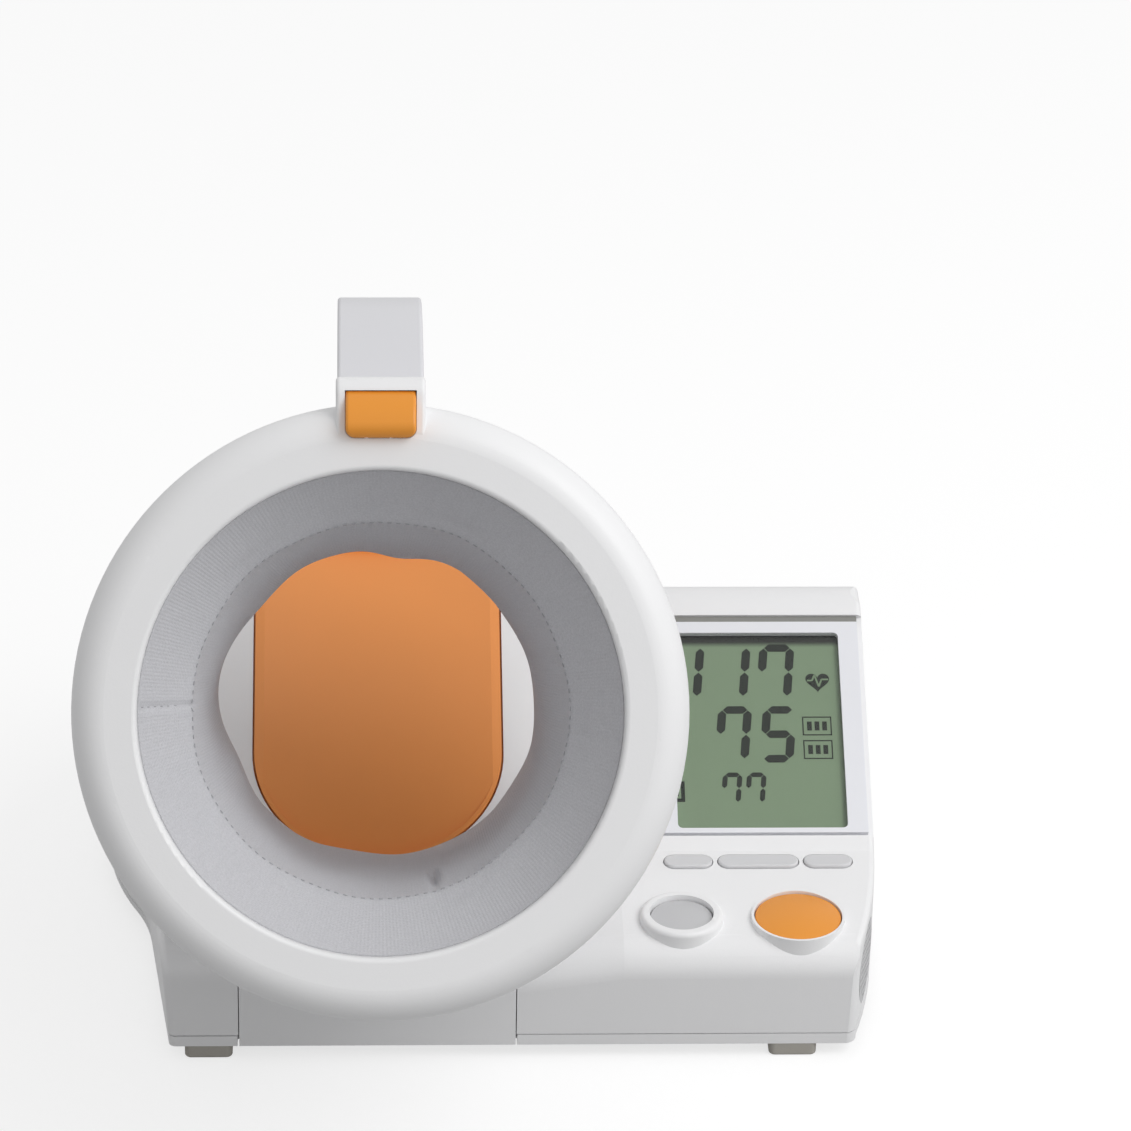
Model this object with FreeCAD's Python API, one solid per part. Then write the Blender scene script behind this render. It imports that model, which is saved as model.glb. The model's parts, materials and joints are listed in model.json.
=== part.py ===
import FreeCAD, Part
import math
import os

# Arm-in blood pressure monitor: a tilting cuff barrel on a table-top base.  Millimetres, +Z up.
# Everything is drawn with x = 0 on the barrel's axis, y = 0 at the base's front edge and z = 0 on
# the table; the operator sits at -Y.  The barrel's pieces are drawn standing on their rear face:
# z is the height towards the mouth and y points at the handle.  stand() then turns such a piece
# about the barrel's hinge line.  export() moves the origin to the middle of the footprint.

Vector = FreeCAD.Vector

# ---- driving dimensions -------------------------------------------------------------------------
RIGHT = 154.8            # right side of the base
BACK = 217.0             # rear of the base
FRONT_REACH = -107.97    # foremost point of the ring, with the barrel at rest
SEAT = 4.5               # height of the base's underside, which is the height of the feet
SEAM = 8.0               # top of the base's lower half
SEAM_GAP = 0.4           # visible joint line above it
WALL = 2.5               # moulded wall thickness
CLEAR = 1.0              # running clearance round the barrel

HINGE_Y, HINGE_Z = 17.0, 22.0      # the barrel's hinge line runs along X through this point
TRAY_TILT = 28.0         # slope of the tray: the barrel's tilt when it is closed
REST_TILT = 63.0         # the barrel's tilt at rest, open on its forward stop
TRAY_DROP = 1.2          # the tray lies this far under the closed barrel's rear face

BARREL_R = 86.0          # outer radius of the barrel at its rear face
NECK_R = 85.4            # the same where it meets the front ring
RING_H = 121.5           # rear face to the front ring's joint line
RING_R = 87.0            # largest radius of the front ring
RING_TOP = 143.2         # flat front face of the front ring
RING_LIP = 1.6           # rounding of its inner edge
RING_FLAT = 77.6         # radius at which its outer rounding starts
MOUTH_R = 68.3           # mouth, at the ring's inner edge
BORE_R = 49.5            # narrow part of the fabric bore
GORES = 12               # panels that the fabric lining is cut from
GORE_GAP = 0.04          # degrees between two of them
FACET_X = 72.0           # the flat on the barrel's right side: its x at the rear face
FACET_RISE = 0.152       # and how fast it runs out towards the ring

BASE_R = 87.0            # round tray end of the base, measured square to the tray
SIDE_REACH = 78.5        # left side of the base's front: its distance from the barrel's axis
SIDE_LEAN = 0.14         # how fast it widens up the tray
SIDE_BLEND = 45.0        # radius of the hollow where it runs into the round end
TRAY_BLEND = 50.0        # radius of the hollow where the level top turns up into the tray
COVER_LEFT, COVER_RIGHT = -43.0, 42.0   # seams of the hinge cover
STOPS = (-32.0, 16.0)    # left ends of the two blocks that end the barrel's opening
STOP_WIDE = 14.0
FRONT_CORNER, SIDE_MIDDLE, SIDE_END = (146.4, 4.4), (151.9, 27.0), (RIGHT, 60.0)   # curved right side
CONSOLE_X = 74.5         # left wall of the console
DECK_Z = 37.8            # front of the button deck
DECK_RISE = 0.117        # slope of the deck
EDGE_R = 9.9             # rounding of the front edge
SLOPE_Y, SLOPE_Z = 50.6, 42.5           # foot of the display slope
SLOPE_TILT = 30.5
RIDGE = [(126.0, 86.9), ((134.0, 89.0), (141.5, 86.2))]   # rounding over from the slope to the back
RIDGE_R = 4.0            # rounding of the ridge's right end
BACK_FOOT = 32.0         # height at which the back turns down to the rear wall
BACK_FALL = 1.31         # how far the back comes down when the base is shrunk by one
BACK_TURN = (214.4, 27.6, 22.0)   # y and height halfway round that turn, height at which it ends
BACK_PLAN = [(0.0, 207.9), (-26.0, 200.3), (-50.5, 171.4)]   # (x, y) of the wall beyond the console's

DRUM_R = 11.0            # hinge drum under the barrel
SHAFT_R = 3.5
REST_HALF = 39.0         # half width of the arm rest
REST_NEAR, REST_FAR = 38.5, 159.0       # its ends, up the tray from the hinge line
REST_CORNER = 11.0       # rounding of its far corners

FRAME_LEFT, FRAME_RIGHT = 80.6, 153.1   # display frame
FRAME_LOW, FRAME_HIGH = 6.5, 82.6       # its lower and upper edge, up the slope from its foot
SEAL_WIDE = 2.5          # dark seal strip above the frame
LCD_LEFT, LCD_RIGHT = 93.5, 146.8       # window in the frame
LCD_LOW, LCD_HIGH = 8.2, 78.6
LCD_CORNER = 1.6

BUTTON_Y = 17.5          # centres of the two round buttons
START_X, START_R, START_TOP = 128.4, 13.2, 41.0
POWER_X, POWER_R, POWER_TOP = 92.6, 9.5, 40.4
KEY_Y, KEY_DEPTH = 45.4, 6.6
KEYS = {"memory_button": (96.1, 15.0), "select_button": (117.9, 25.0), "clock_button": (139.6, 15.0)}

GRILLE_Y, GRILLE_Z, GRILLE_R = 19.5, 22.3, 13.2
HANDLE_HALF = 12.2       # half width of the handle
LATCH_U = 78.4           # distance of the latch hook's pin from the barrel's axis
TAB_HALF = 9.9           # open button: half width, then its lower and upper end from the axis
TAB_LOW, TAB_HIGH = 77.4, 90.5
TAB_CORNER = 2.6         # rounding of its lower corners
TAB_GAP = 0.15

BOARD_Z = 29.0           # top of the key board
PILLARS = [(108.6, 28.0), (82.0, 34.0), (134.0, 36.0)]   # what the key board hangs on
POSTS = [(-56.0, 34.0), (62.0, 30.0), (-66.0, 140.0), (66.0, 150.0), (-20.0, 196.0), (134.0, 160.0)]
FEET = [(-52.1, 7.5), (126.9, 7.5), (-45.0, 185.0), (110.0, 190.0)]
FOOT_HALF = 7.3


# ---- helpers ------------------------------------------------------------------------------------
def wire(path, place):
    """Closed wire through path.  A pair is a corner; a pair of pairs is an arc's middle and end."""
    start = last = place(*path[0])
    edges = []
    for step in path[1:]:
        if isinstance(step[0], tuple):
            end = place(*step[1])
            edges.append(Part.Arc(last, place(*step[0]), end).toShape())
        else:
            end = place(*step)
            edges.append(Part.makeLine(last, end))
        last = end
    if last.distanceToPoint(start) > 1e-6:
        edges.append(Part.makeLine(last, start))
    return Part.Wire(edges)


def side(x):
    """Places (y, z) pairs on the plane at x."""
    return lambda y, z: Vector(x, y, z)


def plan(z):
    """Places (x, y) pairs on the plane at height z."""
    return lambda x, y: Vector(x, y, z)


def lathe(path, turn=360.0, start=0.0):
    """Turns a (radius, height) outline about the Z axis."""
    outline = Part.Face(wire(path, lambda radius, height: Vector(radius, 0, height)))
    outline.rotate(Vector(), Vector(0, 0, 1), start)
    return outline.revolve(Vector(), Vector(0, 0, 1), turn)


def prism(path, low, high):
    """Extrudes an (x, y) outline from one height to another."""
    return Part.Face(wire(path, plan(low))).extrude(Vector(0, 0, high - low))


def across(path, left, right):
    """Extrudes a (y, z) outline along X."""
    return Part.Face(wire(path, side(left))).extrude(Vector(right - left, 0, 0))


def block(low, high):
    return Part.makeBox(*[b - a for a, b in zip(low, high)], Vector(*low))


def rod(radius, start, end):
    start, end = Vector(*start), Vector(*end)
    return Part.makeCylinder(radius, (end - start).Length, start, end - start)


def tube(outer, inner, start, end):
    return rod(outer, start, end).cut(rod(inner, start, end))


def fuse(shapes):
    return shapes[0].fuse(list(shapes[1:])).removeSplitter()


def largest(shape):
    """The biggest solid of a cut that may leave slivers beside it."""
    return max(shape.Solids, key=lambda solid: solid.Volume)


def rounded(shape, radius, chosen):
    """Fillets the edges whose middle point passes the test."""
    edges = [edge for edge in shape.Edges if chosen(edge.CenterOfMass)]
    return shape.makeFillet(radius, edges)


def stand(shape, tilt):
    """Turns a piece drawn standing on the barrel's rear face to the given tilt on the hinge."""
    placed = shape.copy()
    placed.translate(Vector(0, BARREL_R, 0))
    placed.rotate(Vector(), Vector(1, 0, 0), tilt)
    placed.translate(Vector(0, HINGE_Y, HINGE_Z))
    return placed


def on_slope(shape):
    """Lays a piece drawn flat, with y up the slope from its foot, on the display slope."""
    placed = shape.copy()
    placed.rotate(Vector(), Vector(1, 0, 0), SLOPE_TILT)
    placed.translate(Vector(0, SLOPE_Y, SLOPE_Z))
    return placed


def deck_z(y):
    """Height of the button deck."""
    return DECK_Z + (y - EDGE_R) * DECK_RISE


def export(name, shape):
    placed = shape.copy()
    placed.translate(Vector((BASE_R - RIGHT) / 2, -(BACK + FRONT_REACH) / 2, 0))
    placed.exportStep(os.path.join("parts", name + ".step"))


# ---- the barrel's envelope ----------------------------------------------------------------------
def facet(offset, low=-20.0, high=200.0):
    """Everything to the left of the barrel's flat, moved out by offset."""
    shift = FACET_X + offset * math.hypot(1.0, FACET_RISE)
    path = [(-200.0, low), (shift + FACET_RISE * low, low), (shift + FACET_RISE * high, high),
            (-200.0, high)]
    outline = Part.Face(wire(path, lambda x, z: Vector(x, -200.0, z)))
    return outline.extrude(Vector(0, 400.0, 0))


def envelope(offset):
    """The barrel without its handle, grown by offset, standing on its rear face."""
    body = rod(BARREL_R + offset, (0, 0, -offset), (0, 0, RING_TOP))
    return body.common(facet(offset))


def swept(offset, stops=5):
    """The room the barrel needs between its open and closed tilts."""
    step = (REST_TILT - TRAY_TILT) / (stops - 1)
    return [stand(envelope(offset), TRAY_TILT + step * index) for index in range(stops)]


# ---- the base -----------------------------------------------------------------------------------
def front_edge(inset, drop, run_back):
    """(y, z) outline of the deck's front, lowered by drop and shrunk by inset."""
    radius = EDGE_R - inset
    centre_y, centre_z = EDGE_R + 0.5, DECK_Z - EDGE_R - drop
    diagonal = radius * math.sqrt(0.5)
    return [(inset, 0.0), (centre_y - radius, centre_z),
            ((centre_y - diagonal, centre_z + diagonal), (centre_y, centre_z + radius)),
            (run_back, deck_z(run_back) - drop - inset)]


def plan_outline(inset):
    """The console's outline seen from above."""
    right, back = RIGHT - inset, BACK - inset
    corner, corner_x, corner_y = 60.0 - inset, RIGHT - 60.0, BACK - 60.0
    bend = corner * math.sqrt(0.5)
    return prism([(0.0, inset), (142.2, inset),
                  ((145.3 - 0.7 * inset, 1.2 + 0.7 * inset), (FRONT_CORNER[0] - inset, FRONT_CORNER[1])),
                  ((SIDE_MIDDLE[0] - inset, SIDE_MIDDLE[1]), (right, SIDE_END[1])), (right, corner_y),
                  ((corner_x + bend, corner_y + bend), (corner_x, back)), (0.0, back)],
                 -1.0, 120.0)


def console(inset):
    """Right part of the base: deck, display slope, ridge and back."""
    lean = inset / math.cos(math.radians(SLOPE_TILT))
    start, (crown, end) = RIDGE
    top = [(start[0], start[1] - lean),
           ((crown[0], crown[1] - inset), (end[0], end[1] - BACK_FALL * inset))]
    path = front_edge(inset, 0.0, SLOPE_Y) + top + back_edge(inset)
    solid = across(path, CONSOLE_X + inset, RIGHT + 5.0).common(plan_outline(inset))
    if inset:
        return solid
    solid = rounded(solid, 1.8, lambda p: p.x > 140.0 and p.z > 33.0)
    solid = rounded(solid, 1.5, lambda p: abs(p.x - CONSOLE_X) < 0.1 and p.z > 44.0 and p.y < 150.0)
    return solid.common(ridge_end())


def back_edge(inset):
    """(y, z) outline of the back below its slope: rounded over to the rear wall."""
    return [(BACK - 11.0, BACK_FOOT - BACK_FALL * inset),
            ((BACK_TURN[0] - inset, BACK_TURN[1] - inset / 2), (BACK - inset, BACK_TURN[2])),
            (BACK - inset, 0.0)]


def ridge_end():
    """Everything under the rounded right end of the ridge."""
    top, out = RIDGE[1][0][1] + 0.1, RIGHT + 1.0
    side_x, bend = RIGHT + 0.1, RIDGE_R * (1 - math.sqrt(0.5))
    path = [(0.0, -5.0), (out, -5.0), (out, top - RIDGE_R - 0.1), (side_x, top - RIDGE_R),
            ((side_x - bend, top - bend), (side_x - RIDGE_R, top)), (0.0, top)]
    return Part.Face(wire(path, lambda x, z: Vector(x, -5.0, z))).extrude(Vector(0, BACK + 20.0, 0))


def saddle(inset):
    """Lower deck between the console and the hinge cover, falling towards the barrel."""
    back = 58.0
    low = wire(front_edge(inset, 5.0, back) + [(back, 0.0)], side(COVER_RIGHT + inset))
    high = wire(front_edge(inset, 0.0, back) + [(back, 0.0)], side(CONSOLE_X + inset))
    return Part.makeLoft([low, high], True, True)


def tray_z(y, inset=0.0):
    """Height of the tray's surface, lowered square to itself by inset."""
    slope = math.radians(TRAY_TILT)
    return HINGE_Z + (y - HINGE_Y) * math.tan(slope) - (TRAY_DROP + inset) / math.cos(slope)


def left_end(inset):
    """Left part of the base: round behind, with a flared side running forward beside the cover.

    Its walls stand square to the tray and are carried down to the table."""
    radius, blend = BASE_R - inset, SIDE_BLEND + inset
    out_x, out_y = [-part / math.hypot(1.0, SIDE_LEAN) for part in (1.0, SIDE_LEAN)]
    reach = SIDE_REACH - inset + blend
    along = math.sqrt((radius + blend) ** 2 - reach ** 2)
    centre_x, centre_y = reach * out_x - along * out_y, reach * out_y + along * out_x
    share = radius / (radius + blend)
    round_x, round_y = centre_x * share, centre_y * share
    side_x, side_y = centre_x - blend * out_x, centre_y - blend * out_y
    chord_x, chord_y = (round_x + side_x) / 2 - centre_x, (round_y + side_y) / 2 - centre_y
    share = blend / math.hypot(chord_x, chord_y)
    hollow = (centre_x + chord_x * share, centre_y + chord_y * share)
    front = side_y - 70.0
    seam = COVER_LEFT - inset
    join = -math.sqrt(radius ** 2 - seam ** 2)
    outline = prism([(round_x, round_y), (hollow, (side_x, side_y)),
                     (side_x + 70.0 * SIDE_LEAN, front), (seam, front), (seam, join),
                     ((radius * 0.96, radius * 0.28), (round_x, round_y))], -150.0, 40.0)
    drop = TRAY_DROP / math.cos(math.radians(TRAY_TILT))
    meet = HINGE_Y + (DECK_Z - HINGE_Z + drop) / math.tan(math.radians(TRAY_TILT))
    slope, run = math.radians(TRAY_TILT), TRAY_BLEND * math.tan(math.radians(TRAY_TILT) / 2)
    bend = [(meet - run + (TRAY_BLEND + inset) * math.sin(turn),
             DECK_Z + TRAY_BLEND - (TRAY_BLEND + inset) * math.cos(turn))
            for turn in (0.0, slope / 2, slope)]
    back = BACK - inset
    path = front_edge(inset, 0.0, 0.0)[:-1] + [
        bend[0], (bend[1], bend[2]), (back, tray_z(back, inset)), (back, 0.0)]
    return stand(outline, TRAY_TILT).common(across(path, -95.0, 100.0))


def bridge(inset):
    """Fills the back of the base between the round end and the console."""
    path = [(40.0, 0.0), (40.0, tray_z(40.0, inset + 0.6)), (136.0, tray_z(136.0, inset + 0.6)),
            (RIDGE[1][1][0], RIDGE[1][1][1] - BACK_FALL * inset)] + back_edge(inset)
    middle, end, far = [(x, y - inset) for x, y in BACK_PLAN]
    room = prism([(far[0], 30.0), (CONSOLE_X + 20.0, 30.0), (CONSOLE_X + 20.0, BACK - inset),
                  (CONSOLE_X, BACK - inset), (middle, end), far], -1.0, 120.0)
    return across(path, -50.0, CONSOLE_X + 2.0 + inset).common(room)


def base_solid(inset):
    """The whole base as one lump, shrunk by inset, with the barrel's room taken out."""
    left = left_end(inset)
    if not inset:
        left = rounded(left, 2.2, lambda p: p.x < -60.0 and p.y < 2.0 and p.z > 6.0)
    lump = fuse([left, console(inset), saddle(inset), bridge(inset)])
    return largest(lump.cut(swept(CLEAR + inset)))


def drum_room(gap):
    return rod(DRUM_R + gap, (COVER_LEFT, HINGE_Y, HINGE_Z), (COVER_RIGHT, HINGE_Y, HINGE_Z))


def speaker_axis():
    """Centre and outward normal of the speaker grille on the console's curved right side."""
    curve = Part.Arc(*[Vector(x, y, 0) for x, y in (FRONT_CORNER, SIDE_MIDDLE, SIDE_END)])
    level = Part.makeLine(Vector(100.0, GRILLE_Y, 0), Vector(170.0, GRILLE_Y, 0))
    meeting = curve.toShape().distToShape(level)[1][0][0]
    point = Vector(meeting.x, GRILLE_Y, GRILLE_Z)
    tangent = curve.tangent(curve.parameter(meeting))[0]
    normal = tangent.cross(Vector(0, 0, 1))
    if normal.x < 0:
        normal = -normal
    return point, normal


def start_boss(top):
    return rod(START_R + 1.2, (START_X, BUTTON_Y, 33.0), (START_X, BUTTON_Y, top))


def behind_edge(shape):
    """The part of a button's skirt that has room behind the rounded front edge."""
    return shape.common(block((0, 7.5, 0), (200, 60, 60)))


def power_boss(top):
    return rod(POWER_R + 3.3, (POWER_X, BUTTON_Y, 33.0), (POWER_X, BUTTON_Y, top))


def key_pill(name, grow, low, high):
    """Rounded bar under one of the three small keys."""
    centre, length = KEYS[name]
    radius = KEY_DEPTH / 2 + grow
    straight = length / 2 - KEY_DEPTH / 2
    path = [(centre - straight, KEY_Y - radius), (centre + straight, KEY_Y - radius),
            ((centre + straight + radius, KEY_Y), (centre + straight, KEY_Y + radius)),
            (centre - straight, KEY_Y + radius),
            ((centre - straight - radius, KEY_Y), (centre - straight, KEY_Y - radius))]
    return prism(path, low, high)


def rest_outline(grow, low, high):
    """Arm rest outline, drawn on the barrel's rear face plane: round in front, square behind."""
    half, corner = REST_HALF + grow, REST_CORNER + grow
    near, far = REST_NEAR - BARREL_R - grow, REST_FAR - BARREL_R + grow
    shoulder = near + half
    bend = corner * (1 - math.sqrt(0.5))
    return prism([(-half, shoulder), ((0.0, near), (half, shoulder)), (half, far - corner),
                  ((half - bend, far - bend), (half - corner, far)), (-half + corner, far),
                  ((-half + bend, far - bend), (-half, far - corner))], low, high)


def base_top():
    outer, inner = base_solid(0.0), base_solid(WALL)
    posts = [rod(4.2, (x, y, SEAM + SEAM_GAP), (x, y, 115.0)).common(outer) for x, y in POSTS]
    posts += [rod(2.0, (x, y, BOARD_Z), (x, y, 45.0)).common(outer) for x, y in PILLARS]
    ring = rounded(power_boss(41.2), 1.5, lambda p: p.z > 41.0)
    shell = fuse([outer.cut(inner)] + posts + [start_boss(39.9), ring])
    point, normal = speaker_axis()
    cuts = [block((-200, -200, -10), (300, 300, SEAM + SEAM_GAP)),
            drum_room(1.2),
            rod(4.4, (COVER_LEFT - 4, HINGE_Y, HINGE_Z), (COVER_RIGHT + 4, HINGE_Y, HINGE_Z)),
            stand(rest_outline(0.6, -20.0, 5.0), TRAY_TILT),
            stand(block((-4.5, LATCH_U - 3.8, -20), (4.5, LATCH_U + 5.6, 0)), TRAY_TILT),
            on_slope(block((FRAME_LEFT - 0.25, FRAME_LOW - 1.0, -2.0),
                           (FRAME_RIGHT + 8.0, FRAME_HIGH + SEAL_WIDE + 0.1, 6.0))),
            on_slope(block((LCD_LEFT - 2.5, LCD_LOW - 1.5, -6.0),
                           (LCD_RIGHT + 1.5, LCD_HIGH + 1.5, 0.0))),
            rod(START_R + 0.35, (START_X, BUTTON_Y, 20), (START_X, BUTTON_Y, 60)),
            behind_edge(rod(START_R + 1.9, (START_X, BUTTON_Y, 20), (START_X, BUTTON_Y, 36.0))),
            rod(POWER_R + 0.35, (POWER_X, BUTTON_Y, 20), (POWER_X, BUTTON_Y, 60)),
            behind_edge(rod(POWER_R + 2.1, (POWER_X, BUTTON_Y, 20), (POWER_X, BUTTON_Y, 36.0))),
            rod(GRILLE_R + 0.2, point - normal * 8, point + normal * 8),
            block((78.0, BACK - 8, 9.9), (92.0, BACK + 5, 21.1))]
    cuts += [key_pill(name, 0.3, 20.0, 60.0) for name in KEYS]
    cuts += [rod(1.55, (x, y, 0), (x, y, 20.0)) for x, y in POSTS]
    cuts += [stop_block(left, 0.6) for left in STOPS]
    return largest(shell.cut(cuts))


def stop_block(left, grow):
    """Block on the base's floor that the drum's tooth meets when the barrel is fully open."""
    low = (left - grow, HINGE_Y + 2.9 - grow, SEAT)
    return block(low, (left + STOP_WIDE + grow, HINGE_Y + 9.0 + grow, 10.2 + grow))


def base_bottom():
    slab = base_solid(0.0).common(block((-200, -200, SEAT), (300, 300, SEAM)))
    room = base_solid(WALL).common(block((-200, -200, SEAT + WALL), (300, 300, SEAM + 1)))
    floor = block((COVER_LEFT - 3.0, 4.0, SEAT), (COVER_RIGHT + 3.0, 70.0, SEAT + WALL))
    lugs = []
    for left in (COVER_LEFT - 9.2, COVER_RIGHT + 3.2):
        lugs.append(rod(7.5, (left, HINGE_Y, HINGE_Z), (left + 6.0, HINGE_Y, HINGE_Z)))
        lugs.append(block((left, HINGE_Y - 7.5, SEAT), (left + 6.0, HINGE_Y + 7.5, HINGE_Z)))
    shell = fuse([slab.cut(room), floor] + lugs + [stop_block(left, 0.0) for left in STOPS])
    cuts = [block((COVER_LEFT - 0.2, -1.0, 0.0), (COVER_RIGHT + 0.2, 3.8, 30.0)),
            rod(5.5, (-70, HINGE_Y, HINGE_Z), (70, HINGE_Y, HINGE_Z))]
    for x, y in POSTS:
        cuts += [rod(1.7, (x, y, 0), (x, y, 20)), rod(3.1, (x, y, 0), (x, y, SEAT + 1.3))]
    return largest(shell.cut(cuts))


def hinge_cover():
    """Panel between the two front seams, with its lip curving in under the barrel."""
    reach = 14.0
    left, right = COVER_LEFT + 0.3, COVER_RIGHT - 0.3
    outer = across(front_edge(0.0, 5.0, reach) + [(reach, 0.0)], left, right)
    inner = across(front_edge(WALL, 5.0, reach) + [(reach, 0.0)], left, right)
    panel = outer.cut([inner, block((-100, -10, -10), (100, 60, SEAT)), drum_room(1.2)])
    return largest(panel.cut(swept(CLEAR + 0.2)))


def arm_rest():
    """Concave elbow plate with a raised rim, held by a flange under the tray."""
    top = -TRAY_DROP + 0.4
    plate = rest_outline(0.0, -TRAY_DROP - 7.0, top)
    flange = rest_outline(3.2, -TRAY_DROP - 7.0, -TRAY_DROP - WALL - 0.2)
    flange = flange.cut(block((-90, REST_FAR - BARREL_R - 9.0, -20), (90, 90, 20)))
    scoop_r = 150.0
    scoop = rod(scoop_r, (0, -90, scoop_r - 5.2), (0, 90, scoop_r - 5.2))
    bowl = rest_outline(-1.4, -TRAY_DROP - 4.4, 20.0).common(scoop)
    return stand(largest(fuse([plate, flange]).cut(bowl)), TRAY_TILT)


def display_frame():
    frame = block((FRAME_LEFT, FRAME_LOW, -1.9), (FRAME_RIGHT, FRAME_HIGH, 0.15))
    return on_slope(frame.cut(window_hole(0.0, 5.0)))


def frame_seal():
    """Dark strip that closes the gap between the frame and the ridge."""
    low = FRAME_HIGH + 0.05
    return on_slope(block((FRAME_LEFT, low, -1.95), (FRAME_RIGHT, low + SEAL_WIDE - 0.05, -0.9)))


def window_hole(grow, depth):
    hole = block((LCD_LEFT - grow, LCD_LOW - grow, -depth), (LCD_RIGHT + grow, LCD_HIGH + grow, depth))
    return hole.makeFillet(LCD_CORNER, [edge for edge in hole.Edges if abs(edge.tangentAt(0).z) > 0.9])


def display_window():
    return on_slope(window_hole(-0.05, 5.0).common(block((0, 0, -1.5), (200, 200, -0.25))))


def lcd_panel():
    return on_slope(block((LCD_LEFT - 1.8, LCD_LOW - 1.0, -3.9), (LCD_RIGHT + 1.0, LCD_HIGH + 1.0, -2.1)))


def lcd_holder():
    """Open tray that carries the panel over the main board."""
    tray_box = block((LCD_LEFT - 1.8, LCD_LOW - 1.0, -10.9), (LCD_RIGHT + 1.0, LCD_HIGH + 1.0, -4.0))
    hollow = block((LCD_LEFT, LCD_LOW + 1.0, -9.0), (LCD_RIGHT - 1.0, LCD_HIGH - 1.0, -3.0))
    return on_slope(tray_box.cut(hollow))


def main_board():
    return on_slope(block((LCD_LEFT - 8, LCD_LOW, -12.5), (LCD_RIGHT, LCD_HIGH - 4, -10.9)))


def pressure_sensor():
    body = block((100, 30, -17), (110, 40, -12.5))
    return on_slope(body.fuse(rod(1.8, (105, 35, -23), (105, 35, -17))))


def key_board():
    board = block((80, 6, BOARD_Z - 1.6), (137, 52, BOARD_Z))
    return board.cut([rod(4.8, (x, y, 0), (x, y, 60)) for x, y in POSTS])


def key_switches():
    """One push switch on the board under each button."""
    places = [(START_X, BUTTON_Y), (POWER_X, BUTTON_Y)] + [(min(x, 134.0), KEY_Y) for x, _ in KEYS.values()]
    solids = []
    for x, y in places:
        body = block((x - 2.9, y - 2.9, BOARD_Z), (x + 2.9, y + 2.9, 31.2))
        solids.append(body.fuse(rod(1.6, (x, y, 31.2), (x, y, 32.0))).removeSplitter())
    return Part.makeCompound(solids)


def round_button(x, radius, top, dome):
    """Domed cap on a flanged skirt with a stem that works its switch."""
    cap = rod(radius, (x, BUTTON_Y, 34.2), (x, BUTTON_Y, top))
    ball_r = (radius ** 2 + dome ** 2) / (2 * dome)
    cap = cap.common(Part.makeSphere(ball_r, Vector(x, BUTTON_Y, top - ball_r)))
    cap = rounded(cap, 0.5, lambda p: p.z > top - dome - 0.6)
    flange = rod(radius + 1.3, (x, BUTTON_Y, 34.2), (x, BUTTON_Y, 35.6))
    flange = flange.common(block((0, 8.1, 0), (200, 60, 60)))
    stem = rod(2.0, (x, BUTTON_Y, 33.6), (x, BUTTON_Y, 34.4))
    return fuse([cap, flange, stem])


def key_button(name):
    centre = min(KEYS[name][0], 134.0)
    top = deck_z(KEY_Y) + 0.7
    cap = key_pill(name, 0.0, 36.4, top)
    cap = rounded(cap, 0.6, lambda p: p.z > top - 0.1)
    flange = key_pill(name, 0.6, 36.4, 38.6)
    stem = rod(1.8, (centre, KEY_Y, 33.6), (centre, KEY_Y, 36.6))
    return fuse([cap, flange, stem])


def speaker_grille():
    """Perforated disc set flush in the console's right side."""
    point, normal = speaker_axis()
    disc = rod(GRILLE_R, (0, 0, -1.6), (0, 0, 0))
    pitch, holes = 2.6, []
    for row in range(-5, 6):
        for column in range(-5, 6):
            x = (column + 0.5 * (row % 2)) * pitch
            y = row * pitch * math.sqrt(0.75)
            if math.hypot(x, y) < GRILLE_R - 1.8:
                holes.append(rod(0.75, (x, y, -3), (x, y, 1)))
    disc = disc.cut(holes)
    disc.Placement = FreeCAD.Placement(point - normal * 0.3, FreeCAD.Rotation(Vector(0, 0, 1), normal))
    return disc


def speaker():
    point, normal = speaker_axis()
    basket = rod(12.0, point - normal * 6.0, point - normal * 3.2)
    magnet = rod(6.5, point - normal * 10.0, point - normal * 6.0)
    return fuse([basket, magnet])


def air_pump():
    y, z = 130.0, 24.0
    motor = rod(12.0, (-40, y, z), (-5, y, z))
    head = block((-5, y - 13, z - 13), (18, y + 13, z + 13))
    nozzle = rod(2.0, (18, y, z), (26, y, z))
    return fuse([motor, head, nozzle])


def pump_cradle():
    y, z = 130.0, 24.0
    saddle_block = block((-34, y - 15, SEAT + WALL), (-12, y + 15, z))
    return saddle_block.cut(rod(12.05, (-40, y, z), (0, y, z)))


def pump_hose():
    return tube(3.4, 2.05, (20.0, 130.0, 24.0), (46.0, 130.0, 24.0))


def valve_block():
    """Manifold with the quick release valve standing on it."""
    body = block((46, 118, SEAT + WALL), (60, 142, 34))
    return fuse([body, rod(6.5, (53, 136, 34), (53, 136, 46))])


def bleed_valve():
    return rod(4.5, (53, 124, 34), (53, 124, 44))


def power_inlet():
    """Low-voltage inlet in the base's back wall."""
    body = block((78.3, BACK - 15, 10.2), (91.7, BACK - 0.6, 20.8))
    socket = rod(3.2, (85, BACK - 11, 15.5), (85, BACK + 1, 15.5))
    pin = rod(0.9, (85, BACK - 11.5, 15.5), (85, BACK - 2, 15.5))
    return body.cut(socket).fuse(pin).removeSplitter()


def rubber_feet():
    feet = []
    for x, y in FEET:
        foot = block((x - FOOT_HALF, y - FOOT_HALF, 0), (x + FOOT_HALF, y + FOOT_HALF, SEAT))
        foot = foot.makeFillet(2.0, [edge for edge in foot.Edges if abs(edge.tangentAt(0).z) > 0.9])
        feet.append(rounded(foot, 0.8, lambda p: p.z < 0.1))
    return Part.makeCompound(feet)


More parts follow.
